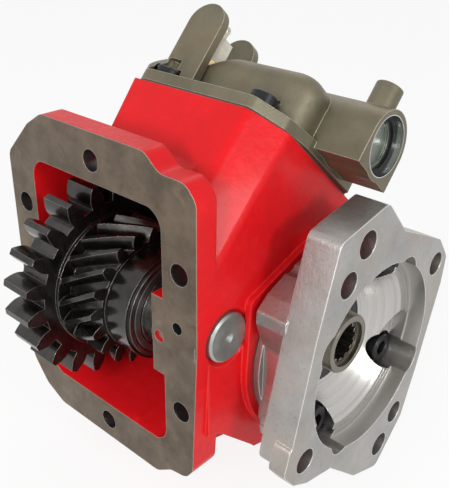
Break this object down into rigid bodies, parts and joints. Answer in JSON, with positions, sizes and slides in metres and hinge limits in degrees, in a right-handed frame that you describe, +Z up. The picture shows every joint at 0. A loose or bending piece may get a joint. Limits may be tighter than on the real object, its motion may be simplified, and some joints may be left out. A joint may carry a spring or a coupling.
{
  "type": "power take off unit",
  "caption": "Side-mount power take off with an open spur and helical gear set, a helical output pair, a tilted shift cover and a bowl-shaped pump flange.",
  "frame": {"origin": "centre of the six-bolt mounting face", "axes": "+X along the shafts towards the pump flange, -Y out of the mounting face towards the gearbox, +Z up along the longer bolt spacing"},
  "size_m": [0.1755, 0.1877, 0.2431],
  "materials": {
    "red_casting": "gloss red paint over cast iron, machined faces bare",
    "gear_steel": "oiled dark gear steel",
    "shaft_steel": "ground and oiled",
    "bearing_steel": "ground",
    "cage_steel": "pressed sheet",
    "cover_casting": "bare grey-brown casting",
    "pump_aluminium": "satin, machined face",
    "black_screw": "black oxide",
    "rubber": "matte",
    "bronze": "oiled bronze",
    "brass": "satin",
    "nylon": "pale natural nylon",
    "paper": "oiled gasket sheet",
    "spring_steel": "oil-tempered wire",
    "zinc": "zinc plated"
  },
  "bodies": {
    "housing": {"housing": "red_casting", "idler_shaft": "shaft_steel", "idler_lock_pin": "shaft_steel", "idler_seal_ring": "rubber", "idler_front_cone": "bearing_steel", "idler_rear_cone": "bearing_steel", "idler_front_spacer": "shaft_steel", "idler_rear_shim": "shaft_steel", "output_front_cup": "bearing_steel", "output_rear_cup": "bearing_steel", "rear_cap": "red_casting", "rear_cap_shim": "paper", "rear_cap_screws": "zinc", "pump_flange": "pump_aluminium", "pump_flange_gasket": "paper", "pump_flange_screws": "black_screw", "shaft_seal": "rubber", "shift_cover": "cover_casting", "cover_gasket": "paper", "cover_screws": "black_screw", "cylinder_cap": "pump_aluminium", "cylinder_cap_ring": "rubber", "cylinder_snap_ring": "spring_steel", "switch_body": "brass", "switch_insulator": "nylon", "switch_terminal": "brass", "return_spring": "spring_steel"},
    "cluster": {"cluster_gear": "gear_steel", "idler_front_cup": "bearing_steel", "idler_rear_cup": "bearing_steel"},
    "idler_front_set": {"idler_front_rollers": "bearing_steel", "idler_front_cage": "cage_steel"},
    "idler_rear_set": {"idler_rear_rollers": "bearing_steel", "idler_rear_cage": "cage_steel"},
    "output_gear": {"output_gear": "gear_steel", "output_gear_bush": "bronze"},
    "output_shaft": {"output_shaft": "shaft_steel", "thrust_washer": "bronze", "rear_spacer": "shaft_steel", "output_front_cone": "bearing_steel", "output_rear_cone": "bearing_steel"},
    "output_front_set": {"output_front_rollers": "bearing_steel", "output_front_cage": "cage_steel"},
    "output_rear_set": {"output_rear_rollers": "bearing_steel", "output_rear_cage": "cage_steel"},
    "collar": {"clutch_collar": "gear_steel"},
    "shift": {"piston": "shaft_steel", "piston_ring": "rubber", "shift_rod": "shaft_steel", "piston_nut": "zinc", "shift_fork": "gear_steel", "fork_pin": "spring_steel"}
  },
  "joints": [
    {"name": "cluster_turn", "type": "hinge", "parent": "housing", "child": "cluster", "pos_m": [0, 0.0205, 0], "axis": [1, 0, 0], "continuous": true},
    {"name": "idler_front_set_turn", "type": "hinge", "parent": "housing", "child": "idler_front_set", "pos_m": [0, 0.0205, 0], "axis": [1, 0, 0], "continuous": true},
    {"name": "idler_rear_set_turn", "type": "hinge", "parent": "housing", "child": "idler_rear_set", "pos_m": [0, 0.0205, 0], "axis": [1, 0, 0], "continuous": true},
    {"name": "output_gear_turn", "type": "hinge", "parent": "housing", "child": "output_gear", "pos_m": [0, 0.08737, -0.026], "axis": [1, 0, 0], "continuous": true},
    {"name": "output_shaft_turn", "type": "hinge", "parent": "housing", "child": "output_shaft", "pos_m": [0, 0.08737, -0.026], "axis": [1, 0, 0], "continuous": true},
    {"name": "output_front_set_turn", "type": "hinge", "parent": "housing", "child": "output_front_set", "pos_m": [0, 0.08737, -0.026], "axis": [1, 0, 0], "continuous": true},
    {"name": "output_rear_set_turn", "type": "hinge", "parent": "housing", "child": "output_rear_set", "pos_m": [0, 0.08737, -0.026], "axis": [1, 0, 0], "continuous": true},
    {"name": "shift_slide", "type": "slide", "parent": "housing", "child": "shift", "axis": [-1, 0, 0], "range_m": [0, 0.006], "stiffness_N_per_m": 2000, "springref_m": -0.005, "deforming": ["return_spring"]},
    {"name": "collar_slide", "type": "slide", "parent": "output_shaft", "child": "collar", "axis": [-1, 0, 0], "range_m": [0, 0.006]}
  ],
  "couplings": [
    {"joint": "idler_front_set_turn", "follows": "cluster_turn", "ratio": 0.57},
    {"joint": "idler_rear_set_turn", "follows": "cluster_turn", "ratio": 0.57},
    {"joint": "output_gear_turn", "follows": "cluster_turn", "ratio": -0.86364},
    {"joint": "output_shaft_turn", "follows": "cluster_turn", "ratio": -0.86364},
    {"joint": "output_front_set_turn", "follows": "cluster_turn", "ratio": -0.3886},
    {"joint": "output_rear_set_turn", "follows": "cluster_turn", "ratio": -0.3714},
    {"joint": "collar_slide", "follows": "shift_slide", "ratio": 1}
  ]
}
